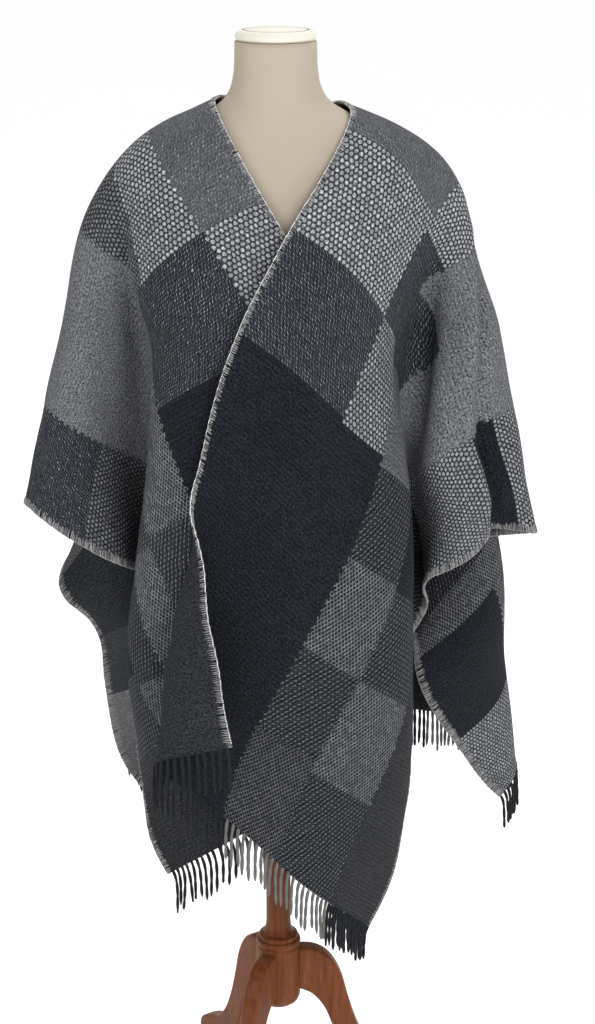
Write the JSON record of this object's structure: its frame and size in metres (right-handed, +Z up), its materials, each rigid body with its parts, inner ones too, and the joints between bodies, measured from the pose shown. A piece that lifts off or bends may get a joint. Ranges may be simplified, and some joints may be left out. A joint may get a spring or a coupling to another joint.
{
  "type": "wool poncho on a limbless dress form with a three-legged wooden stand",
  "caption": "Open-fronted oblong wool poncho with block checks, edged slit and sides and yarn fringes, draped on a limbless cloth dress form on a turned wooden stand.",
  "frame": {"origin": "bottom centre of the whole object's box, on the floor under the feet", "axes": "+Z up along the wooden column, the garment's front towards -Y, the wearer's left towards +X"},
  "size_m": [0.6768, 0.4984, 1.466],
  "materials": {
    "wool_cloth": "soft double woven wool in large grey and charcoal block checks",
    "fringe_yarn": "loose twisted wool yarn",
    "form_cover": "smooth cream cover, matt",
    "form_cap": "pale cover over a round cap, matt",
    "stand_wood": "warm orange-brown wood, clear satin lacquer"
  },
  "bodies": {
    "root": {"woven_panel": "wool_cloth", "fringe_front_left": "fringe_yarn", "fringe_front_right": "fringe_yarn", "fringe_back": "fringe_yarn", "dress_form": "form_cover", "neck_cap": "form_cap", "stand_column": "stand_wood", "stand_leg_right": "stand_wood", "stand_leg_back": "stand_wood", "stand_leg_front": "stand_wood"}
  },
  "joints": []
}
